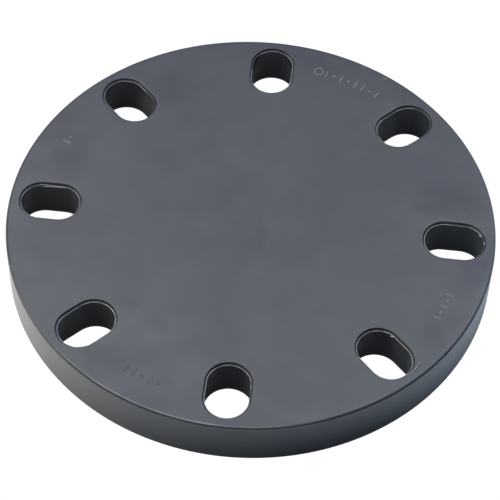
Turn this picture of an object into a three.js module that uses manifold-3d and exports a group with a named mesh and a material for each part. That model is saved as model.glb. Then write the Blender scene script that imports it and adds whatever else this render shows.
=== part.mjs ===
import * as THREE from "three";
import { mergeVertices } from "three/addons/utils/BufferGeometryUtils.js";
import Module from "manifold-3d";

// A DN 100 blind flange, moulded in one piece from PVC-U. Millimetres, +Z up.
// The jointing face lies on z = 0, the outer face looks up, and the first bolt slot is on +X.

// Disc
const OUTER_DIAMETER = 220;
const THICKNESS = 24;
const TOP_EDGE_RADIUS = 1.3;
const BOTTOM_EDGE_RADIUS = 1;
const RIM_SEGMENTS = 128;
const EDGE_STEPS = 4;

// Bolt slots: each one takes a bolt on any bolt circle between the smallest and the largest.
const SLOT_COUNT = 8;
const SMALLEST_BOLT_CIRCLE = 175;
const LARGEST_BOLT_CIRCLE = 190.5;
const SLOT_WIDTH = 19;
const LIP_CHAMFER = 0.8;
const SLOT_DRAFT = 1.25;
const FOOT_CHAMFER = 2.5;
const SLOT_ARC_STEPS = 14;

// Shallow V rings in the jointing face that grip the gasket
const GROOVE_RADII = [60, 65, 70];
const GROOVE_WIDTH = 1.6;
const GROOVE_DEPTH = 0.5;

// Raised code marks on the outer face, each a row of plain pieces midway between two slots
const MARK_CIRCLE = 96.2;
const MARK_RELIEF = 0.35;
const BAR = { width: 0.9, length: 4.2 };
const DOT_RADIUS = 0.75;
const RING = { outer: 2.5, inner: 1.7 };
const MARK_ROWS = [
  { angle: 67.5, pitch: 3.8, pieces: ["bar", "dot", "bar", "bar", "dot", "bar", "dot", "bar", "ring"] },
  { angle: 157.5, pitch: 3.2, pieces: ["dot", "bar"] },
  { angle: 247.5, pitch: 3.9, pieces: ["bar", "bar", "dot", "bar", "dot"] },
  { angle: 337.5, pitch: 3.4, pieces: ["bar", "dot", "bar", "dot", "bar"] },
];

const OUTER_RADIUS = OUTER_DIAMETER / 2;
const SLOT_CIRCLE_RADIUS = (SMALLEST_BOLT_CIRCLE + LARGEST_BOLT_CIRCLE) / 4;
const SLOT_HALF_STRAIGHT = (LARGEST_BOLT_CIRCLE - SMALLEST_BOLT_CIRCLE) / 4;
const MOUTH_RADIUS = SLOT_WIDTH / 2;
const FOOT_RADIUS = MOUTH_RADIUS + SLOT_DRAFT;
const OVERCUT = 1;
const EMBED = 0.6;

const wasm = await Module();
wasm.setup();

// A closed three.js geometry as a manifold-3d solid.
function toSolid(geometry) {
  const bare = geometry.index ? geometry.toNonIndexed() : geometry.clone();
  bare.deleteAttribute("normal");
  bare.deleteAttribute("uv");
  const merged = mergeVertices(bare, 1e-4);
  const corners = merged.index.array;
  const triangles = [];
  for (let i = 0; i < corners.length; i += 3) {
    const [a, b, c] = corners.slice(i, i + 3);
    const collapsed = a === b || b === c || a === c;
    if (!collapsed) triangles.push(a, b, c);
  }
  return new wasm.Manifold(
    new wasm.Mesh({
      numProp: 3,
      vertProperties: merged.attributes.position.array,
      triVerts: new Uint32Array(triangles),
    }),
  );
}

function toGeometry(solid) {
  const { vertProperties, triVerts } = solid.getMesh();
  const geometry = new THREE.BufferGeometry();
  geometry.setAttribute("position", new THREE.BufferAttribute(vertProperties, 3));
  geometry.setIndex(new THREE.BufferAttribute(triVerts, 1));
  const faceted = geometry.toNonIndexed();
  faceted.computeVertexNormals();
  return faceted;
}

// Points on a quarter round between two of its angles, in degrees, as (distance from axis, height).
function roundedEdge(centreRadius, centreHeight, radius, fromAngle) {
  const points = [];
  for (let step = 0; step <= EDGE_STEPS; step++) {
    const angle = THREE.MathUtils.degToRad(fromAngle + (90 * step) / EDGE_STEPS);
    const outward = centreRadius + radius * Math.cos(angle);
    const upward = centreHeight + radius * Math.sin(angle);
    points.push(new THREE.Vector2(outward, upward));
  }
  return points;
}

// Half of the disc's section, from the middle of the jointing face round to the middle of the outer face.
function discProfile() {
  const profile = [new THREE.Vector2(0, 0)];
  for (const radius of GROOVE_RADII) {
    profile.push(new THREE.Vector2(radius - GROOVE_WIDTH / 2, 0));
    profile.push(new THREE.Vector2(radius, GROOVE_DEPTH));
    profile.push(new THREE.Vector2(radius + GROOVE_WIDTH / 2, 0));
  }
  profile.push(
    ...roundedEdge(OUTER_RADIUS - BOTTOM_EDGE_RADIUS, BOTTOM_EDGE_RADIUS, BOTTOM_EDGE_RADIUS, -90),
    ...roundedEdge(OUTER_RADIUS - TOP_EDGE_RADIUS, THICKNESS - TOP_EDGE_RADIUS, TOP_EDGE_RADIUS, 0),
    new THREE.Vector2(0, THICKNESS),
  );
  return profile;
}

function makeDisc() {
  const disc = new THREE.LatheGeometry(discProfile(), RIM_SEGMENTS);
  disc.rotateX(Math.PI / 2);
  return toSolid(disc);
}

// The slot's outline at one height: two half circles joined by straight sides along X.
function slotOutline(radius, height) {
  const points = [];
  for (const side of [1, -1]) {
    for (let step = 0; step <= SLOT_ARC_STEPS; step++) {
      const angle = -Math.PI / 2 + (Math.PI * step) / SLOT_ARC_STEPS;
      const x = side * (SLOT_HALF_STRAIGHT + radius * Math.cos(angle));
      points.push(new THREE.Vector3(x, side * radius * Math.sin(angle), height));
    }
  }
  return points;
}

// A closed solid through a stack of outlines, lowest first, that run anticlockwise seen from above.
function loft(outlines) {
  const count = outlines[0].length;
  const positions = [];
  const triangle = (...corners) => corners.forEach((p) => positions.push(p.x, p.y, p.z));
  const bottomCentre = new THREE.Vector3(0, 0, outlines[0][0].z);
  const topCentre = new THREE.Vector3(0, 0, outlines.at(-1)[0].z);
  for (let i = 0; i < count; i++) {
    const next = (i + 1) % count;
    triangle(bottomCentre, outlines[0][next], outlines[0][i]);
    triangle(topCentre, outlines.at(-1)[i], outlines.at(-1)[next]);
    for (let level = 0; level + 1 < outlines.length; level++) {
      const [below, above] = [outlines[level], outlines[level + 1]];
      triangle(below[i], below[next], above[next]);
      triangle(below[i], above[next], above[i]);
    }
  }
  const geometry = new THREE.BufferGeometry();
  geometry.setAttribute("position", new THREE.Float32BufferAttribute(positions, 3));
  return geometry;
}

// What one slot takes out of the disc: its foot chamfer, its drafted wall and its lip chamfer.
function makeSlotCutter(index) {
  const cutter = loft([
    slotOutline(FOOT_RADIUS + FOOT_CHAMFER + OVERCUT, -OVERCUT),
    slotOutline(FOOT_RADIUS, FOOT_CHAMFER),
    slotOutline(MOUTH_RADIUS, THICKNESS - LIP_CHAMFER),
    slotOutline(MOUTH_RADIUS + LIP_CHAMFER + OVERCUT, THICKNESS + OVERCUT),
  ]);
  cutter.translate(SLOT_CIRCLE_RADIUS, 0, 0);
  cutter.rotateZ((2 * Math.PI * index) / SLOT_COUNT);
  return toSolid(cutter);
}

// One raised piece of a code mark, standing on z = 0 with its length along Y.
function markPiece(kind) {
  const height = MARK_RELIEF + EMBED;
  if (kind === "bar") {
    return new THREE.BoxGeometry(BAR.width, BAR.length, height).translate(0, 0, height / 2);
  }
  const outline = new THREE.Shape();
  outline.absarc(0, 0, kind === "ring" ? RING.outer : DOT_RADIUS, 0, 2 * Math.PI);
  if (kind === "ring") {
    outline.holes.push(new THREE.Path().absarc(0, 0, RING.inner, 0, 2 * Math.PI, true));
  }
  return new THREE.ExtrudeGeometry(outline, { depth: height, bevelEnabled: false, curveSegments: 12 });
}

function makeMarkRow({ angle, pitch, pieces }) {
  const turnPerPiece = pitch / MARK_CIRCLE;
  return pieces.map((kind, place) => {
    const turn = THREE.MathUtils.degToRad(angle) + (place - (pieces.length - 1) / 2) * turnPerPiece;
    const piece = markPiece(kind);
    piece.translate(0, MARK_CIRCLE, THICKNESS - EMBED);
    piece.rotateZ(turn - Math.PI / 2);
    return toSolid(piece);
  });
}

function makeFlange() {
  let flange = makeDisc();
  for (let index = 0; index < SLOT_COUNT; index++) {
    flange = flange.subtract(makeSlotCutter(index));
  }
  for (const piece of MARK_ROWS.flatMap(makeMarkRow)) {
    flange = flange.add(piece);
  }
  return flange;
}

const greyPlastic = new THREE.MeshStandardMaterial({ color: 0x5d6169, roughness: 0.45, metalness: 0 });

const flangeDisc = new THREE.Mesh(toGeometry(makeFlange()), greyPlastic);
flangeDisc.name = "flange_disc";

const group = new THREE.Group();
group.add(flangeDisc);

export default group;
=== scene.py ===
import math

import bmesh
import bpy
import numpy as np
from mathutils import Matrix, Vector


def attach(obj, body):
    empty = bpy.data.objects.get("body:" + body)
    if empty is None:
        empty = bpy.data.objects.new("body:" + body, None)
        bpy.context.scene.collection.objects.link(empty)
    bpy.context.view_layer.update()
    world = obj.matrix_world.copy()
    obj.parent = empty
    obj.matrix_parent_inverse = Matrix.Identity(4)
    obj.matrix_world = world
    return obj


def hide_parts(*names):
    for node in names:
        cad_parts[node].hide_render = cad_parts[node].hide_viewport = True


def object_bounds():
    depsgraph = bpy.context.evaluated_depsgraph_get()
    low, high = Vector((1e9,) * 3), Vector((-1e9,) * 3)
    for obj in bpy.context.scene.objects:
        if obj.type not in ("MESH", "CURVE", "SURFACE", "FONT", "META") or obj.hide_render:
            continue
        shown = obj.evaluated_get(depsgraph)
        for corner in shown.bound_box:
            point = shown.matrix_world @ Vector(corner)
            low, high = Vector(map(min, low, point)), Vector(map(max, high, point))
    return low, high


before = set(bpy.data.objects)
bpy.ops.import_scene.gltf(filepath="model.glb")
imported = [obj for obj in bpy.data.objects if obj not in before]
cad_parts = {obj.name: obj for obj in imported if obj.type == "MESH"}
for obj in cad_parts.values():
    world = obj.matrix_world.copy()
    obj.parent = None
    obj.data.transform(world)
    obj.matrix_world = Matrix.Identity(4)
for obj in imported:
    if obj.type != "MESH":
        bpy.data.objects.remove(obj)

# A blind flange moulded in dark grey PVC-U. Metres, in the CAD frame: the jointing face is on z = 0,
# the outer face looks up, and the first of the eight bolt slots is on +X.

cad_low, cad_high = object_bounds()
MM = 0.001

# Disc, from the frame, whose box also holds the raised marks of the CAD model
CAD_RELIEF = 0.35 * MM
OUTER_RADIUS = (cad_high.x - cad_low.x) / 2
THICKNESS = cad_high.z - cad_low.z - CAD_RELIEF
TOP_EDGE_RADIUS = 1.3 * MM
BOTTOM_EDGE_RADIUS = 1.0 * MM

# Bolt slots, as in the CAD model
SLOT_COUNT = 8
SLOT_PITCH = 2 * math.pi / SLOT_COUNT
HALF_SECTOR = math.pi / SLOT_COUNT
SMALLEST_BOLT_CIRCLE = 175 * MM
LARGEST_BOLT_CIRCLE = 190.5 * MM
SLOT_CIRCLE_RADIUS = (SMALLEST_BOLT_CIRCLE + LARGEST_BOLT_CIRCLE) / 4
SLOT_HALF_STRAIGHT = (LARGEST_BOLT_CIRCLE - SMALLEST_BOLT_CIRCLE) / 4
MOUTH_RADIUS = 9.5 * MM
LIP_CHAMFER = 0.8 * MM
SLOT_DRAFT = 1.25 * MM
FOOT_CHAMFER = 2.5 * MM
FOOT_EDGE = 0.1 * MM

# How strongly the foot chamfer takes the painted shade inside a slot, beside the bottom of the wall
FOOT_PAINTED_SHADING = 0.5

# Lip of a slot, deeper and steeper than in the CAD model. Its rounding has a ring at each tilt, in degrees,
# and ends at these shares of its radius, out from the chamfer's edge and down from the face.
LIP_DEPTH = 1.05 * MM
LIP_ROUNDING = 0.25 * MM
LIP_TILTS = [16, 32, 48, 63]
LIP_END_OUT = 0.11
LIP_END_DOWN = 0.546

# Rings down the steep flank of the lip, close together at both ends so that it shades as a flat slope,
# and how far short of the ledge the last one stops
FLANK_SHARES = [0.12, 0.5, 0.88, 1.0]
FLANK_CLEARANCE = 0.02 * MM

# Trimmed flash: the thin pale ledge at the bottom of each lip. Its inner edge is given as steps back from
# the edge and down from the top, and the wall starts a little behind it and below it.
LEDGE_WIDTH = 0.25 * MM
LEDGE_REACH = 0.12 * MM
LEDGE_THICKNESS = 0.16 * MM
LEDGE_EDGE = [(0.03 * MM, 0.03 * MM), (0.0, 0.07 * MM)]
WALL_SETBACK = 0.05 * MM
WALL_DROP = 0.12 * MM

# How pale each slot's ledge is, times a wobbling value with this middle and this least
LEDGE_WHITENESS = [0.85, 0.80, 0.70, 0.50, 0.60, 0.95, 0.95, 0.85]
MIDDLE_WHITENESS = 0.85
LEAST_WHITENESS = 0.2

# What is left of that paleness on the ledge's underside, and where the ledge is cut away
UNDERSIDE_WHITENESS = 0.4
CUT_WHITENESS = 0.15

# The direction from +X in which the ledges are least pale, and the share that they lose there: painted
# shade on the ledges that face the left softboxes, which light them most
LEFT_LAMP_FACING = math.radians(15)
LEFT_LAMP_PAINTED_SHADE = 0.20

# Where the ledge is cut away: slot, direction and half width in degrees. The direction is counted round
# the slot's own centre, from outwards.
LEDGE_GAPS = [(0, -28, 26), (0, 14, 7), (1, -40, 60), (3, -150, 50), (2, 60, 25), (6, 90, 12)]
GAP_FADE_DEGREES = 8

# Wobbles round a closed outline: amount, first seed, and how many waves each sine has
REACH_WOBBLE = (0.10, 25, [4, 7, 11, 19])
WIDTH_WOBBLE = (0.15, 10, [3, 5, 8, 13, 21])
DEPTH_WOBBLE = (0.05, 40, [2, 3, 7])
WHITENESS_WOBBLE = (0.30, 70, [2, 5, 9, 16])
EDGE_HIGHLIGHT_WOBBLE = (0.25, 5, [17, 29, 43])

# The stretch of the rim's top edge that is painted paler as a highlight, in degrees from +X, and the part
# of the edge's rounding that it covers, in degrees up from level
EDGE_HIGHLIGHT_MIDDLE = 258
EDGE_HIGHLIGHT_HALF_LENGTH = 36
EDGE_HIGHLIGHT_WHITENESS = 0.30
EDGE_HIGHLIGHT_TURNS = (55, 85)

# Raised code marks, in the same places as in the CAD model: rows of plain bars, dots and rings, each row
# with its middle in degrees, its pitch, how much of a fresh mark's height is left and how pale it is
MARK_CIRCLE = 96.2 * MM
BAR_SIZE = (4.2 * MM, 0.9 * MM)
BAR_CORNER = 0.25 * MM
DOT_RADIUS = 0.75 * MM
RING_RADII = (2.5 * MM, 1.7 * MM)
MARK_ROWS = [
    (67.5, 3.8 * MM, 0.50, 0.17, ["bar", "dot", "bar", "bar", "dot", "bar", "dot", "bar", "ring"]),
    (157.5, 3.2 * MM, 0.50, 0.20, ["dot", "bar"]),
    (247.5, 3.9 * MM, 0.35, 0.00, ["bar", "bar", "dot", "bar", "dot"]),
    (337.5, 3.4 * MM, 0.50, 0.19, ["bar", "dot", "bar", "dot", "bar"]),
]

# How far each level of a raised mark stands in from its foot, and its height as a share of the CAD relief
MARK_PROFILE = [(0.0, -0.4), (0.0, 0.0), (0.12 * MM, 0.35), (0.24 * MM, 0.6), (0.38 * MM, 0.7)]

# Shavings left by trimming, in millimetres: width, thickness, how pale, and the points that each one
# passes, as x, y and height above the face
SHAVINGS = [
    (0.32, 0.12, 0.60, [(74.2, -74.5, -0.3), (76.4, -73.8, 0.2), (78.1, -71.4, 0.5), (79.9, -67.6, 0.9)]),
    (0.35, 0.15, 0.75, [(-96.4, 8.6, -1.1), (-92.5, 8.9, -1.2), (-89.0, 9.1, -1.2), (-85.5, 9.1, -1.1)]),
    (0.50, 0.15, 0.90, [(66.4, -54.6, -1.0), (68.2, -54.9, -0.8)]),
    (0.45, 0.15, 0.80, [(102.3, 5.4, -1.0), (103.6, 4.2, -0.7)]),
    (0.40, 0.15, 0.70, [(104.6, 1.6, -0.8), (105.0, -0.4, -0.6)]),
]

# A shaving's section, as shares of its half width and half thickness. Its width follows the square root of
# a sine that starts at the tip angle, in radians, and is held above the smallest sine.
SHAVING_SECTION = [(1, 0), (0.6, 1), (-0.6, 1), (-1, 0), (-0.6, -1), (0.6, -1)]
SHAVING_STATIONS = 28
SHAVING_SMOOTHINGS = 6
SHAVING_TIP_ANGLE = 0.15
SMALLEST_SINE = 0.1

# Gasket grooves in the jointing face. Beside its root, each one has a point this share of its width away
# and this share of its depth deep.
GROOVE_RADII = [60 * MM, 65 * MM, 70 * MM]
GROOVE_WIDTH = 1.6 * MM
GROOVE_DEPTH = 0.5 * MM
BESIDE_ROOT_WIDTH = 0.12
BESIDE_ROOT_DEPTH = 0.9

# Mesh density. The outer face's rings crowd towards the lips when the crowding is below 1.
SECTOR_ARC_STEPS = 36
SECTOR_SIDE_STEPS = 30
FACE_RINGS = 9
FACE_CROWDING = 0.7
WALL_RINGS = 14
UNDERSIDE_RINGS = 5
TOP_EDGE_RINGS = 10
RIM_STEPS = 11
BOTTOM_EDGE_RINGS = 8
MIDDLE_RINGS = 24
CORNER_POINTS = 6
RING_POINTS = 40
INNER_RADIUS = 72.5 * MM
CENTRE_SHARE = 0.02
MERGE_DISTANCE = 0.0005 * MM
TINY = 1e-9
ALL_ROUND = np.arange(SLOT_COUNT * SECTOR_ARC_STEPS) * 2 * math.pi / (SLOT_COUNT * SECTOR_ARC_STEPS)


# ---------------------------------------------------------------- outlines

def sector_outline(outer_radius):
    """The border of one slot's share of the face, anticlockwise, as (x, y) with the slot along X."""
    arc = np.linspace(-HALF_SECTOR, HALF_SECTOR, SECTOR_ARC_STEPS, endpoint=False)
    side = np.linspace(outer_radius, INNER_RADIUS, SECTOR_SIDE_STEPS, endpoint=False)
    back = np.linspace(INNER_RADIUS, outer_radius, SECTOR_SIDE_STEPS, endpoint=False)
    one_side, other_side = np.full(len(side), HALF_SECTOR), np.full(len(back), -HALF_SECTOR)
    angle = np.concatenate([arc, one_side, -arc, other_side])
    radius = np.concatenate([np.full(len(arc), outer_radius), side, np.full(len(arc), INNER_RADIUS), back])
    return np.stack([radius * np.cos(angle), radius * np.sin(angle)], axis=1)


def slot_outline(directions, radius):
    """Where rays from the slot's centre, at these angles, cross the slot's outline of this end radius."""
    radius = np.broadcast_to(radius, directions.shape)
    cosine, sine = np.cos(directions), np.sin(directions)
    to_side = radius / np.maximum(np.abs(sine), TINY)
    inside = np.maximum(radius**2 - (SLOT_HALF_STRAIGHT * sine) ** 2, 0)
    to_end = SLOT_HALF_STRAIGHT * np.abs(cosine) + np.sqrt(inside)
    reach = np.where(to_side * np.abs(cosine) <= SLOT_HALF_STRAIGHT, to_side, to_end)
    return np.stack([SLOT_CIRCLE_RADIUS + reach * cosine, reach * sine], axis=1)


def around(radius):
    """A circle about the flange's axis."""
    return np.stack([radius * np.cos(ALL_ROUND), radius * np.sin(ALL_ROUND)], axis=1)


def rounded_outline(half_length, half_width, corner):
    """A rounded rectangle about the origin, long side along X, as (x, y)."""
    corner = min(corner, half_length, half_width)
    arcs = []
    for quarter, (sx, sy) in enumerate([(1, 1), (-1, 1), (-1, -1), (1, -1)]):
        angle = np.linspace(0, math.pi / 2, CORNER_POINTS) + quarter * math.pi / 2
        arcs.append(np.stack([sx * (half_length - corner) + corner * np.cos(angle),
                              sy * (half_width - corner) + corner * np.sin(angle)], axis=1))
    return np.concatenate(arcs)


def wobble(directions, kind, index=0):
    """A smooth closed wobble of about its kind's amount either way: a sum of sines with seeded phases."""
    amount, first_seed, waves = kind
    draw = np.random.default_rng(first_seed + index)
    total = np.zeros_like(directions)
    for count in waves:
        total += np.sin(count * directions + draw.uniform(0, 2 * math.pi))
    return amount * (total / math.sqrt(len(waves)))


# ---------------------------------------------------------------- moulding

class Rings:
    """A band of rings of points, from which one mesh is stitched.

    Each point also has how pale it is, from whitening and from the painted highlight along the rim's top
    edge, and how strongly it takes the painted shade inside a slot.
    """

    def __init__(self, first_capped=False, last_capped=False):
        self.rings, self.white, self.inside = [], [], []
        self.first_capped, self.last_capped = first_capped, last_capped

    def add(self, flat, height, white=0.0, inside=0.0):
        count = len(flat)
        self.rings.append(np.column_stack([flat, np.broadcast_to(height, count)]))
        self.white.append(np.broadcast_to(white, count).astype(np.float32))
        self.inside.append(np.broadcast_to(inside, count).astype(np.float32))

    def turn(self, angle):
        cosine, sine = math.cos(angle), math.sin(angle)
        spin = np.array([[cosine, sine, 0], [-sine, cosine, 0], [0, 0, 1]])
        self.rings = [ring @ spin for ring in self.rings]


def ledge_kept(angles, index):
    """1 where a slot's ledge is whole, falling softly to 0 where it is cut away."""
    kept = np.ones_like(angles)
    for slot, middle, half_width in LEDGE_GAPS:
        if slot == index:
            apart = np.abs((np.degrees(angles) - middle + 180) % 360 - 180)
            kept *= np.clip((apart - half_width) / GAP_FADE_DEGREES, 0, 1)
    return kept


def ledge_shape(angles, index):
    """All round one slot: how far its ledge reaches in, how wide it is outside the mouth, and its depth."""
    reach = LEDGE_REACH * (1 + wobble(angles, REACH_WOBBLE, index)) * ledge_kept(angles, index)
    width = LEDGE_WIDTH * (1 + wobble(angles, WIDTH_WOBBLE, index)) - reach
    depth = LIP_DEPTH * (1 + wobble(angles, DEPTH_WOBBLE, index))
    return reach, width, depth


def ledge_whiteness(angles, index):
    """How pale a slot's ledge is, all round the slot, less pale where it faces the left softboxes, as
    painted shade.
    """
    whiteness = np.clip(MIDDLE_WHITENESS + wobble(angles, WHITENESS_WOBBLE, index), LEAST_WHITENESS, 1)
    kept = ledge_kept(angles, index)
    whiteness = whiteness * LEDGE_WHITENESS[index] * (CUT_WHITENESS + (1 - CUT_WHITENESS) * kept)
    facing = np.cos(angles + SLOT_PITCH * index - LEFT_LAMP_FACING)
    return whiteness * (1 - LEFT_LAMP_PAINTED_SHADE * np.clip(facing, 0, 1))


def add_face(band, angles, border):
    """The outer face, closing in from its border on the lip, then the lip's rounding."""
    lip = slot_outline(angles, MOUTH_RADIUS + LIP_CHAMFER + LIP_ROUNDING)
    for share in np.linspace(0, 1, FACE_RINGS + 1) ** FACE_CROWDING:
        band.add(border + (lip - border) * share, THICKNESS)
    for tilt in np.radians(LIP_TILTS):
        radius = MOUTH_RADIUS + LIP_CHAMFER + LIP_ROUNDING * (1 - math.sin(tilt))
        band.add(slot_outline(angles, radius), THICKNESS - LIP_ROUNDING * (1 - math.cos(tilt)))


def add_flank(band, angles, width, depth):
    """The steep flank of the lip, down to the ledge."""
    top_offset = LIP_CHAMFER + LIP_END_OUT * LIP_ROUNDING
    top_drop = LIP_ROUNDING * LIP_END_DOWN
    for share in FLANK_SHARES:
        offset = top_offset + (width + FLANK_CLEARANCE - top_offset) * share
        drop = top_drop + (depth - FLANK_CLEARANCE - top_drop) * share
        band.add(slot_outline(angles, MOUTH_RADIUS + offset), THICKNESS - drop)


def add_ledge(band, angles, shape, whiteness):
    """The ledge's top, its rounded inner edge and the start of its underside."""
    reach, width, depth = shape
    band.add(slot_outline(angles, MOUTH_RADIUS + width), THICKNESS - depth, whiteness)
    for back, down in LEDGE_EDGE:
        band.add(slot_outline(angles, MOUTH_RADIUS - reach + back), THICKNESS - depth - down, whiteness)
    underside = THICKNESS - depth - LEDGE_THICKNESS
    band.add(slot_outline(angles, MOUTH_RADIUS - reach), underside, whiteness * UNDERSIDE_WHITENESS)


def add_wall(band, angles, wall_top):
    """The drafted wall, then the foot chamfer. Returns the foot's outline."""
    band.add(slot_outline(angles, MOUTH_RADIUS + WALL_SETBACK), wall_top)
    # Down the wall, inside is the painted shade of the slot, deepening towards the foot
    for share in np.linspace(0, 1, WALL_RINGS + 1)[1:]:
        height = wall_top + (FOOT_CHAMFER - wall_top) * share
        radius = MOUTH_RADIUS + WALL_SETBACK + SLOT_DRAFT * share
        band.add(slot_outline(angles, radius), height, inside=share)
    foot_radius = MOUTH_RADIUS + SLOT_DRAFT + FOOT_CHAMFER
    foot = slot_outline(angles, foot_radius)
    band.add(slot_outline(angles, foot_radius - FOOT_EDGE), FOOT_EDGE, inside=FOOT_PAINTED_SHADING)
    band.add(foot, 0.0)
    return foot


def slot_band(index):
    """The skin from the outer face's border through one slot to the jointing face's border."""
    band = Rings()
    top_border = sector_outline(OUTER_RADIUS - TOP_EDGE_RADIUS)
    from_slot = top_border - np.array([SLOT_CIRCLE_RADIUS, 0])
    angles = np.arctan2(from_slot[:, 1], from_slot[:, 0])
    reach, width, depth = ledge_shape(angles, index)
    add_face(band, angles, top_border)
    add_flank(band, angles, width, depth)
    add_ledge(band, angles, (reach, width, depth), ledge_whiteness(angles, index))
    foot = add_wall(band, angles, THICKNESS - depth - LEDGE_THICKNESS - WALL_DROP)
    bottom_border = sector_outline(OUTER_RADIUS - BOTTOM_EDGE_RADIUS)
    for share in np.linspace(0, 1, UNDERSIDE_RINGS + 1)[1:]:
        band.add(foot + (bottom_border - foot) * share, 0.0)
    return band


def painted_edge_highlight():
    """The painted highlight on the rim's top edge, all round: paler along one stretch."""
    apart = np.degrees(ALL_ROUND) - EDGE_HIGHLIGHT_MIDDLE
    stretch = np.clip(1 - (apart / EDGE_HIGHLIGHT_HALF_LENGTH) ** 2, 0, 1)
    return EDGE_HIGHLIGHT_WHITENESS * stretch * (1 + wobble(ALL_ROUND, EDGE_HIGHLIGHT_WOBBLE))


def rim_band():
    """The skin from the outer face's edge round the rim to the jointing face's edge."""
    band = Rings()
    # This whiteness is the painted highlight along the top of the edge's rounding
    whiteness = painted_edge_highlight()
    lowest_highlight_turn, highest_highlight_turn = EDGE_HIGHLIGHT_TURNS
    for turn in np.linspace(90, 0, TOP_EDGE_RINGS):
        drop = TOP_EDGE_RADIUS * (1 - math.sin(math.radians(turn)))
        radius = OUTER_RADIUS - TOP_EDGE_RADIUS * (1 - math.cos(math.radians(turn)))
        band.add(around(radius), THICKNESS - drop, whiteness if lowest_highlight_turn < turn < highest_highlight_turn else 0.0)
    for height in np.linspace(THICKNESS - TOP_EDGE_RADIUS, BOTTOM_EDGE_RADIUS, RIM_STEPS + 1)[1:-1]:
        band.add(around(OUTER_RADIUS), height)
    for turn in np.radians(np.linspace(0, 90, BOTTOM_EDGE_RINGS)):
        radius = OUTER_RADIUS - BOTTOM_EDGE_RADIUS * (1 - math.cos(turn))
        band.add(around(radius), BOTTOM_EDGE_RADIUS * (1 - math.sin(turn)))
    return band


def middle_band(height, groove_radii=()):
    """The middle of a face, from the sectors' inner border to its centre, with any grooves cut upwards."""
    rises = {INNER_RADIUS * share: 0.0 for share in np.linspace(1, CENTRE_SHARE, MIDDLE_RINGS)}
    for groove in groove_radii:
        for side in (-1, 1):
            rises[groove + side * GROOVE_WIDTH / 2] = 0.0
            rises[groove + side * GROOVE_WIDTH * BESIDE_ROOT_WIDTH] = GROOVE_DEPTH * BESIDE_ROOT_DEPTH
        rises[groove] = GROOVE_DEPTH
    half_width = GROOVE_WIDTH / 2 - TINY
    bridging = [radius for radius, rise in rises.items()
                if rise == 0 and any(abs(radius - groove) < half_width for groove in groove_radii)]
    for radius in bridging:
        del rises[radius]
    band = Rings(last_capped=True)
    for radius in sorted(rises, reverse=True):
        band.add(around(radius), height + rises[radius])
    return band


def band_faces(band, first):
    """The faces of one band whose points are numbered from first on."""
    count = len(band.rings[0])
    step = np.arange(count)
    following = (step + 1) % count
    faces = []
    for level in range(len(band.rings) - 1):
        above, below = first + level * count, first + (level + 1) * count
        quads = np.stack([above + step, above + following, below + following, below + step], axis=1)
        faces += quads.tolist()
    if band.first_capped:
        faces.append((first + step).tolist())
    if band.last_capped:
        faces.append((first + (len(band.rings) - 1) * count + step).tolist())
    return faces


def stitch(bands, name):
    """One mesh from bands of rings, with shared borders merged and every face pointing out."""
    points, white, inside, faces = [], [], [], []
    for band in bands:
        faces += band_faces(band, sum(len(ring) for ring in points))
        points += band.rings
        white += band.white
        inside += band.inside
    mesh = bpy.data.meshes.new(name)
    mesh.from_pydata(np.concatenate(points).tolist(), [], faces)
    for attribute, values in [("whitened_and_highlight", white), ("painted_slot_shade", inside)]:
        layer = mesh.attributes.new(attribute, "FLOAT", "POINT")
        layer.data.foreach_set("value", np.concatenate(values))
    work = bmesh.new()
    work.from_mesh(mesh)
    bmesh.ops.remove_doubles(work, verts=work.verts, dist=MERGE_DISTANCE)
    bmesh.ops.recalc_face_normals(work, faces=work.faces)
    work.to_mesh(mesh)
    work.free()
    mesh.shade_smooth()
    return mesh


# ---------------------------------------------------------------- marks and shavings

def island(outlines, heights, centre, angle, white):
    """A small raised piece from stacked outlines, turned by an angle and set down at (x, y)."""
    band = Rings(first_capped=True, last_capped=True)
    cosine, sine = math.cos(angle), math.sin(angle)
    spin = np.array([[cosine, sine], [-sine, cosine]])
    for outline, height in zip(outlines, heights):
        band.add(outline @ spin + centre, height, white)
    return band


def mark_heights(left):
    """The heights of a mark's levels: those above the face are lowered to the share that is left."""
    return [THICKNESS + CAD_RELIEF * (rise * left if rise > 0 else rise) for _, rise in MARK_PROFILE]


def bar(centre, angle, left, white):
    length, width = BAR_SIZE
    outlines = [rounded_outline(length / 2 - inset, width / 2 - inset, BAR_CORNER)
                for inset, _ in MARK_PROFILE]
    return island(outlines, mark_heights(left), centre, angle, white)


def dot(centre, angle, left, white):
    sizes = [DOT_RADIUS - inset for inset, _ in MARK_PROFILE]
    outlines = [rounded_outline(size, size, size) for size in sizes]
    return island(outlines, mark_heights(left), centre, angle, white)


def ring(centre, _, left, white):
    """A ring mark, which looks the same at any angle."""
    outer, inner = RING_RADII
    around_ring = np.linspace(0, 2 * math.pi, RING_POINTS, endpoint=False)
    unit = np.stack([np.cos(around_ring), np.sin(around_ring)], axis=1)
    heights = mark_heights(left)
    climb = [(outer - inset, height) for (inset, _), height in zip(MARK_PROFILE, heights)]
    descent = [(inner + inset, height) for (inset, _), height in zip(MARK_PROFILE, heights)]
    band = Rings()
    for radius, height in climb + descent[::-1] + climb[:1]:
        band.add(unit * radius + centre, height, white)
    return band


def make_marks():
    shapes = {"bar": bar, "dot": dot, "ring": ring}
    marks = []
    for middle, pitch, left, white, names in MARK_ROWS:
        for place, name in enumerate(names):
            angle = math.radians(middle) + (place - (len(names) - 1) / 2) * pitch / MARK_CIRCLE
            centre = MARK_CIRCLE * np.array([math.cos(angle), math.sin(angle)])
            marks.append(shapes[name](centre, angle, left, white))
    return marks


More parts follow.
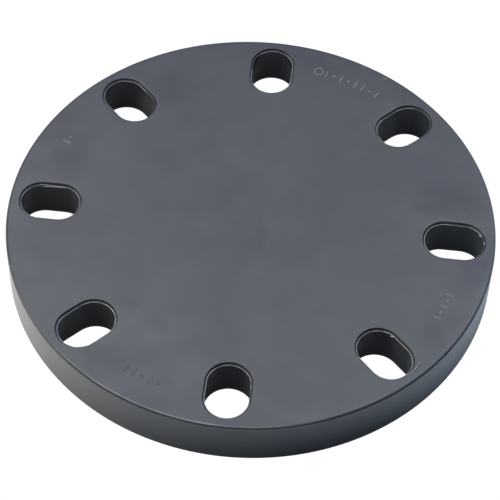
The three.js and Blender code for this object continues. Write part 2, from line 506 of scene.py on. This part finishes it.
def smooth_track(points):
    """Evenly numbered stations along straight lines between points, with the corners smoothed out."""
    numbers = np.arange(len(points))
    stations = np.linspace(0, len(points) - 1, SHAVING_STATIONS)
    track = np.stack([np.interp(stations, numbers, points[:, axis]) for axis in range(3)], axis=1)
    for _ in range(SHAVING_SMOOTHINGS):
        track[1:-1] = (track[:-2] + 2 * track[1:-1] + track[2:]) / 4
    return track


def shaving(width, thickness, white, points):
    """A thin curl of plastic: a flat section swept along a path, tapering at both ends."""
    track = smooth_track(np.array(points) * MM + np.array([0, 0, THICKNESS]))
    ahead = np.gradient(track, axis=0)
    ahead /= np.linalg.norm(ahead, axis=1)[:, None]
    across = np.cross(ahead, [0, 0, 1.0])
    across /= np.linalg.norm(across, axis=1)[:, None]
    turns = np.linspace(SHAVING_TIP_ANGLE, math.pi - SHAVING_TIP_ANGLE, len(track))
    taper = np.sqrt(np.clip(np.sin(turns), SMALLEST_SINE, 1))
    half_width, half_thickness = width * MM / 2, thickness * MM / 2
    band = Rings(first_capped=True, last_capped=True)
    for point, side, share in zip(track, across, taper):
        loop = [point + side * half_width * a * share + np.array([0, 0, half_thickness * b])
                for a, b in SHAVING_SECTION]
        loop = np.array(loop)
        band.add(loop[:, :2], loop[:, 2], white)
    return band


def make_disc_mesh():
    bands = []
    for index in range(SLOT_COUNT):
        band = slot_band(index)
        band.turn(SLOT_PITCH * index)
        bands.append(band)
    bands += [rim_band(), middle_band(THICKNESS), middle_band(0.0, GROOVE_RADII)]
    bands += make_marks()
    bands += [shaving(*row) for row in SHAVINGS]
    return stitch(bands, "flange_moulding")


# ---------------------------------------------------------------- material

# Tones of the moulded skin: cool and warm greys, the painted shade inside the slots, and the paler tone of
# cut or stressed plastic, which also paints the highlight along the rim's top edge
COOL_GREY = (0.0425, 0.0495, 0.0690, 1)
WARM_GREY = (0.0545, 0.0600, 0.0745, 1)
PAINTED_SLOT_SHADE = (0.010, 0.013, 0.022, 1)
STRESSED_AND_HIGHLIGHT = (0.68, 0.69, 0.72, 1)

# How strongly a slot's walls take the painted shade at the bottom, and how much specular level they lose
# there as more painted shade
PAINTED_SLOT_SHADING = 0.70
SPECULAR_LEVEL = 0.5
PAINTED_SHADE_SPECULAR_LOSS = 0.25

# How much of each change of tone blue gets: below 1, so that dark stains look cool
STAIN_BLUE_SHARE = 0.75

# Noise scales, and how much each noise changes the tone either way
RAGGED_SCALE = 45
RAGGED_SHIFT = 22 * MM
CLOUD_SCALE = 20
BLOTCH_SCALE = 50
BLOTCH_AMOUNT = 0.11
GRAIN_SCALE = 900
GRAIN_AMOUNT = 0.02

# Speckle over whitened places, and the crumbs that scuffs break into: their noise, the range of it that
# counts and, for the speckle, what that range becomes
SPECKLE_SCALE = 1400
SPECKLE_DETAIL = 3
SPECKLE_ROUGHNESS = 0.7
SPECKLE_RANGE = (0.25, 0.75, 0.65, 1.15)
CRUMB_SCALE = 700
CRUMB_RANGE = (0.42, 0.6)

# Roughness of the skin, least and most, and how much whitening and the painted edge highlight add
GLOSS_SCALE = 34
ROUGHNESS = (0.285, 0.315)
STRESSED_ROUGHNESS = 0.3

# Orange peel and fine grain, in the bump
PEEL_SCALE = 260
FINE_SCALE = 2200
FINE_SHARE = 0.12
BUMP_STRENGTH = 0.25
BUMP_DISTANCE = 0.05 * MM

# The range that a noise mostly fills
NOISE_LOW = 0.3
NOISE_HIGH = 0.7

# A soft patch fades from its core to its border, both as shares of its half size
PATCH_BORDER = 1.4
PATCH_CORE = 0.1
PATCH_HALF_HEIGHT = 4 * MM

# Soft stains on the outer face, in millimetres: x, y, half sizes along x and y, and how much darker (below
# 0) or paler
STAINS = [
    (5, -4, 4, 9, -0.20),
    (89, 22, 17, 12, -0.42),
    (22, 100, 34, 8, -0.28),
    (70, 78, 12, 20, -0.14),
    (-43, 25, 14, 16, -0.09),
    (-55, -82, 20, 6, -0.28),
    (-32, -101, 14, 5, -0.26),
    (-48, -51, 6, 12, -0.14),
    (86, -55, 9, 15, -0.34),
    (-92, 28, 14, 22, -0.34),
    (-92, -28, 14, 18, -0.22),
    (-60, 74, 26, 16, -0.28),
    (62, 44, 20, 16, -0.10),
    (100, -15, 11, 40, -0.32),
    (-68, 22, 12, 10, 0.10),
    (-38, -66, 24, 13, 0.40),
    (17, 13, 26, 18, 0.08),
    (30, -55, 30, 26, 0.06),
    (30, -99, 18, 6, 0.22),
    (-20, -86, 22, 10, 0.34),
    (45, 98.5, 5, 2.2, 0.9),
]

# Small pale scuffs near the rim, in the same terms
SCUFFS = [
    (54, 93, 1.2, 0.7, 0.25),
    (-102, -38.5, 0.7, 0.8, 0.2),
    (-99, -52, 0.5, 0.5, 0.2),
    (43, 99, 0.9, 0.5, 0.25),
]


class Nodes:
    """Short ways to add the shader nodes used here."""

    def __init__(self, tree):
        self.nodes, self.links = tree.nodes, tree.links

    def add(self, kind, **values):
        node = self.nodes.new(kind)
        for name, value in values.items():
            setattr(node, name, value)
        return node

    def feed(self, source, socket):
        if isinstance(source, bpy.types.NodeSocket):
            self.links.new(source, socket)
        else:
            socket.default_value = source

    def math(self, operation, first, second):
        node = self.add("ShaderNodeMath", operation=operation)
        self.feed(first, node.inputs[0])
        self.feed(second, node.inputs[1])
        return node.outputs[0]

    def vector(self, operation, first, second):
        node = self.add("ShaderNodeVectorMath", operation=operation)
        self.feed(first, node.inputs[0])
        self.feed(second, node.inputs[1])
        return node.outputs["Vector"]

    def length(self, vector):
        node = self.add("ShaderNodeVectorMath", operation="LENGTH")
        self.feed(vector, node.inputs[0])
        return node.outputs["Value"]

    def noise(self, position, scale, detail=2.0, roughness=0.5):
        node = self.add("ShaderNodeTexNoise")
        self.feed(position, node.inputs["Vector"])
        node.inputs["Scale"].default_value = scale
        node.inputs["Detail"].default_value = detail
        node.inputs["Roughness"].default_value = roughness
        return node.outputs["Fac"]

    def remap(self, value, low, high, to_low=0.0, to_high=1.0, smooth=False, clamp=True):
        interpolation = "SMOOTHSTEP" if smooth else "LINEAR"
        node = self.add("ShaderNodeMapRange", interpolation_type=interpolation, clamp=clamp)
        self.feed(value, node.inputs["Value"])
        for name, number in zip(("From Min", "From Max", "To Min", "To Max"), (low, high, to_low, to_high)):
            node.inputs[name].default_value = number
        return node.outputs["Result"]

    def mix(self, share, first, second):
        node = self.add("ShaderNodeMix", data_type="RGBA")
        self.feed(share, node.inputs["Factor"])
        self.feed(first, node.inputs[6])
        self.feed(second, node.inputs[7])
        return node.outputs[2]

    def patch(self, position, x, y, half_x, half_y):
        """1 at the middle of a soft oval on the outer face, 0 outside it."""
        shifted = self.vector("SUBTRACT", position, (x * MM, y * MM, THICKNESS))
        shrink = (1 / (half_x * MM), 1 / (half_y * MM), 1 / PATCH_HALF_HEIGHT)
        length = self.length(self.vector("MULTIPLY", shifted, shrink))
        return self.remap(length, PATCH_BORDER, PATCH_CORE, smooth=True)


def ragged_positions(n, position):
    """Positions pushed about a little, so that what is placed by them has ragged borders."""
    push = n.add("ShaderNodeTexNoise")
    push.inputs["Scale"].default_value = RAGGED_SCALE
    n.feed(position, push.inputs["Vector"])
    centred = n.vector("SUBTRACT", push.outputs["Color"], (0.5, 0.5, 0.5))
    scaled = n.add("ShaderNodeVectorMath", operation="SCALE")
    n.feed(centred, scaled.inputs[0])
    scaled.inputs["Scale"].default_value = RAGGED_SHIFT
    return n.vector("ADD", position, scaled.outputs["Vector"])


def skin_tone(n, position, ragged):
    """Slow clouds of cool and warm grey, with blotches, grain and stains over them."""
    clouds = n.remap(n.noise(ragged, CLOUD_SCALE), NOISE_LOW, NOISE_HIGH)
    tone = n.mix(clouds, COOL_GREY, WARM_GREY)
    blotches = n.remap(n.noise(ragged, BLOTCH_SCALE), NOISE_LOW, NOISE_HIGH,
                       -BLOTCH_AMOUNT, BLOTCH_AMOUNT, clamp=False)
    grain = n.remap(n.noise(position, GRAIN_SCALE), NOISE_LOW, NOISE_HIGH,
                    -GRAIN_AMOUNT, GRAIN_AMOUNT, clamp=False)
    level = n.math("ADD", blotches, grain)
    for x, y, half_x, half_y, amount in STAINS:
        stain = n.math("MULTIPLY", n.patch(ragged, x, y, half_x, half_y), amount)
        level = n.math("ADD", level, stain)
    shade = n.add("ShaderNodeCombineXYZ")
    n.feed(n.math("ADD", level, 1.0), shade.inputs["X"])
    n.feed(n.math("ADD", level, 1.0), shade.inputs["Y"])
    n.feed(n.math("ADD", n.math("MULTIPLY", level, STAIN_BLUE_SHARE), 1.0), shade.inputs["Z"])
    return n.vector("MULTIPLY", tone, shade.outputs[0])


def stress_and_highlight_amount(n, position):
    """Where the skin is pale, speckled: whitening at cut edges and marks, the painted highlight along the
    rim's top edge, and crumbly scuffs.
    """
    whitened_and_highlight = n.add("ShaderNodeAttribute", attribute_name="whitened_and_highlight").outputs["Fac"]
    speckle = n.noise(position, SPECKLE_SCALE, SPECKLE_DETAIL, SPECKLE_ROUGHNESS)
    speckle = n.remap(speckle, *SPECKLE_RANGE)
    stress_and_highlight = n.math("MULTIPLY", whitened_and_highlight, speckle)
    crumbs = n.remap(n.noise(position, CRUMB_SCALE), *CRUMB_RANGE)
    for x, y, half_x, half_y, amount in SCUFFS:
        scuff = n.math("MULTIPLY", n.patch(position, x, y, half_x, half_y), amount)
        stress_and_highlight = n.math("ADD", stress_and_highlight, n.math("MULTIPLY", scuff, crumbs))
    return n.math("MINIMUM", stress_and_highlight, 1.0)


def skin_bump(n, position):
    fine = n.math("MULTIPLY", n.noise(position, FINE_SCALE), FINE_SHARE)
    bump = n.add("ShaderNodeBump")
    bump.inputs["Strength"].default_value = BUMP_STRENGTH
    bump.inputs["Distance"].default_value = BUMP_DISTANCE
    n.feed(n.math("ADD", n.noise(position, PEEL_SCALE), fine), bump.inputs["Height"])
    return bump.outputs["Normal"]


def make_pvc():
    material = bpy.data.materials.new("pvc_u_skin")
    material.use_nodes = True
    n = Nodes(material.node_tree)
    shader = n.nodes["Principled BSDF"]
    position = n.add("ShaderNodeTexCoord").outputs["Object"]
    ragged = ragged_positions(n, position)
    inside = n.add("ShaderNodeAttribute", attribute_name="painted_slot_shade").outputs["Fac"]
    stress_and_highlight = stress_and_highlight_amount(n, position)
    # Slot walls are mixed towards a dark blue, more so deeper down: painted shade
    skin = n.mix(n.math("MULTIPLY", inside, PAINTED_SLOT_SHADING), skin_tone(n, position, ragged), PAINTED_SLOT_SHADE)
    roughness = n.remap(n.noise(ragged, GLOSS_SCALE), NOISE_LOW, NOISE_HIGH, *ROUGHNESS)
    roughness = n.math("ADD", roughness, n.math("MULTIPLY", stress_and_highlight, STRESSED_ROUGHNESS))
    # Less specular level deeper in the slots: painted shade on their reflections
    specular_loss = n.math("MULTIPLY", inside, PAINTED_SHADE_SPECULAR_LOSS)
    # The pale tone covers real whitening and the painted highlight on the rim's top edge
    n.feed(n.mix(stress_and_highlight, skin, STRESSED_AND_HIGHLIGHT), shader.inputs["Base Color"])
    n.feed(roughness, shader.inputs["Roughness"])
    n.feed(n.math("SUBTRACT", SPECULAR_LEVEL, specular_loss), shader.inputs["Specular IOR Level"])
    n.feed(skin_bump(n, position), shader.inputs["Normal"])
    return material


# ---------------------------------------------------------------- stage, light and camera

# Softboxes: how far off they all stand, in metres, then each one's name, azimuth and elevation in degrees,
# power in watts, size in metres and colour
SOFTBOX_DISTANCE = 1.6
SOFTBOXES = [
    ("left_low", 270, 33, 11.0, 0.8, (1.0, 0.93, 0.70)),
    ("left_high", 270, 65, 3.2, 1.0, (0.92, 0.93, 1.0)),
    ("back_left", 225, 55, 5.8, 1.0, (0.92, 0.98, 1.0)),
    ("back", 180, 58, 4.8, 1.0, (0.93, 0.90, 1.0)),
    ("right_low", 135, 25, 4.0, 1.0, (0.80, 0.87, 1.0)),
    ("right_high", 135, 55, 8.0, 1.0, (0.70, 0.86, 1.0)),
    ("crown", 330, 68, 3.0, 0.5, (1.0, 0.98, 0.95)),
]

# Floor and backdrop: both are white to the camera, and the floor is a mid-grey to everything else
FLOOR_HALF_SIZE = 6.0
FLOOR_GAP = 0.05 * MM
FLOOR_GREY = (0.57, 0.62, 0.70, 1)
WHITE_STRENGTH = 1.05

# What the floor adds in glossy reflections only: a glow that grows with distance from the part and reaches
# closest to it on the left, and a faint one under the part, stronger at the back than in front
GLOW_START = OUTER_RADIUS + 4 * MM
GLOW_FULL = OUTER_RADIUS + 34 * MM
GLOW_STRENGTH = 0.82
GLOW_STRETCH = 1.25
GLOW_SHIFT = 14 * MM
GLOW_LEFT = (1.0, 0.96, 0.84, 1)
GLOW_RIGHT = (0.80, 0.92, 1.0, 1)
PART_EDGE = (OUTER_RADIUS - 2 * MM, OUTER_RADIUS + 1 * MM)
UNDER_GLOW_FRONT = 0.02
UNDER_GLOW_BACK = 0.11

# Camera: where it stands, how far it rolls, and its aim from the middle of the outer face
CAMERA_AZIMUTH = 4.73
CAMERA_ELEVATION = 52.94
CAMERA_ROLL = 1.93
CAMERA_DISTANCE = 893.3 * MM
AIM_RIGHT = -0.54 * MM
AIM_UP = -13.27 * MM
SENSOR_WIDTH = 36
LENS = 143.1


def table_glow(n, place, backwards):
    """How strongly the floor glows in reflections: beyond the part's edge and, faintly, under it."""
    oval = n.add("ShaderNodeMapping")
    n.feed(place, oval.inputs["Vector"])
    oval.inputs["Scale"].default_value = (GLOW_STRETCH, 1, 1)
    oval.inputs["Location"].default_value = (-GLOW_SHIFT, 0, 0)
    beyond = n.remap(n.length(oval.outputs["Vector"]), GLOW_START, GLOW_FULL, 0.0, GLOW_STRENGTH)
    outside = n.remap(n.length(place), *PART_EDGE)
    under = n.remap(backwards, -OUTER_RADIUS, 0, UNDER_GLOW_FRONT, UNDER_GLOW_BACK)
    under = n.math("MULTIPLY", under, n.math("SUBTRACT", 1.0, outside))
    return n.math("ADD", n.math("MULTIPLY", beyond, outside), under)


def reflected_table(n, glossy_ray):
    """The floor's glow, warm on the left and cool on the right, for glossy rays only."""
    place = n.add("ShaderNodeTexCoord").outputs["Object"]
    parts = n.add("ShaderNodeSeparateXYZ")
    n.feed(place, parts.inputs[0])
    glow = table_glow(n, place, parts.outputs["Y"])
    rightness = n.remap(parts.outputs["X"], -OUTER_RADIUS, OUTER_RADIUS)
    table = n.add("ShaderNodeEmission")
    n.feed(n.mix(rightness, GLOW_LEFT, GLOW_RIGHT), table.inputs["Color"])
    n.feed(n.math("MULTIPLY", glow, glossy_ray), table.inputs["Strength"])
    return table.outputs[0]


def make_floor_material():
    material = bpy.data.materials.new("pale_floor")
    material.use_nodes = True
    n = Nodes(material.node_tree)
    n.nodes.clear()
    path = n.add("ShaderNodeLightPath")
    paper = n.add("ShaderNodeBsdfDiffuse")
    paper.inputs["Color"].default_value = FLOOR_GREY
    white = n.add("ShaderNodeEmission")
    white.inputs["Strength"].default_value = WHITE_STRENGTH
    both = n.add("ShaderNodeAddShader")
    n.feed(paper.outputs[0], both.inputs[0])
    n.feed(reflected_table(n, path.outputs["Is Glossy Ray"]), both.inputs[1])
    pick = n.add("ShaderNodeMixShader")
    n.feed(path.outputs["Is Camera Ray"], pick.inputs[0])
    n.feed(both.outputs[0], pick.inputs[1])
    n.feed(white.outputs[0], pick.inputs[2])
    n.feed(pick.outputs[0], n.add("ShaderNodeOutputMaterial").inputs["Surface"])
    return material


def make_stage():
    half = FLOOR_HALF_SIZE
    mesh = bpy.data.meshes.new("floor")
    corners = [(-half, -half, 0), (half, -half, 0), (half, half, 0), (-half, half, 0)]
    mesh.from_pydata(corners, [], [(0, 1, 2, 3)])
    mesh.materials.append(make_floor_material())
    floor = bpy.data.objects.new("floor", mesh)
    floor.location.z = cad_low.z - FLOOR_GAP
    bpy.context.scene.collection.objects.link(floor)


def make_world():
    """White to the camera, and black to everything else."""
    world = bpy.data.worlds.new("studio")
    bpy.context.scene.world = world
    world.use_nodes = True
    n = Nodes(world.node_tree)
    n.nodes.clear()
    path = n.add("ShaderNodeLightPath")
    room = n.add("ShaderNodeBackground")
    room.inputs["Strength"].default_value = 0.0
    backdrop = n.add("ShaderNodeBackground")
    backdrop.inputs["Color"].default_value = (1, 1, 1, 1)
    backdrop.inputs["Strength"].default_value = WHITE_STRENGTH
    pick = n.add("ShaderNodeMixShader")
    n.feed(path.outputs["Is Camera Ray"], pick.inputs[0])
    n.feed(room.outputs[0], pick.inputs[1])
    n.feed(backdrop.outputs[0], pick.inputs[2])
    n.feed(pick.outputs[0], n.add("ShaderNodeOutputWorld").inputs["Surface"])


def towards(azimuth, elevation):
    """The direction at an azimuth, counted from the front round to the right, and an elevation."""
    turn, rise = math.radians(azimuth), math.radians(elevation)
    return Vector((math.sin(turn) * math.cos(rise), -math.cos(turn) * math.cos(rise), math.sin(rise)))


def make_softbox(name, azimuth, elevation, power, size, colour):
    """A square softbox that faces the part."""
    away = towards(azimuth, elevation)
    data = bpy.data.lights.new(name, "AREA")
    data.shape = "SQUARE"
    data.size = size
    data.energy = power
    data.color = colour
    light = bpy.data.objects.new(name, data)
    light.location = SOFTBOX_DISTANCE * away
    light.rotation_mode = "QUATERNION"
    light.rotation_quaternion = away.to_track_quat("Z", "Y")
    bpy.context.scene.collection.objects.link(light)


def make_camera():
    back = towards(CAMERA_AZIMUTH, CAMERA_ELEVATION)
    turn = math.radians(CAMERA_AZIMUTH)
    level = Vector((math.cos(turn), math.sin(turn), 0))
    right = Matrix.Rotation(math.radians(CAMERA_ROLL), 3, back) @ level
    up = back.cross(right)
    data = bpy.data.cameras.new("camera")
    data.sensor_width = SENSOR_WIDTH
    data.lens = LENS
    camera = bpy.data.objects.new("camera", data)
    place = Vector((0, 0, THICKNESS)) + AIM_RIGHT * right + AIM_UP * up + CAMERA_DISTANCE * back
    camera.matrix_world = Matrix.Translation(place) @ Matrix((right, up, back)).transposed().to_4x4()
    bpy.context.scene.collection.objects.link(camera)
    bpy.context.scene.camera = camera


# ---------------------------------------------------------------- assembly

flange = bpy.data.objects.new("flange_moulding", make_disc_mesh())
bpy.context.scene.collection.objects.link(flange)
flange.data.materials.append(make_pvc())
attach(flange, "root")
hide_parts("flange_disc")

make_stage()
make_world()
for softbox in SOFTBOXES:
    make_softbox(*softbox)
make_camera()
bpy.context.scene.view_settings.view_transform = "Standard"
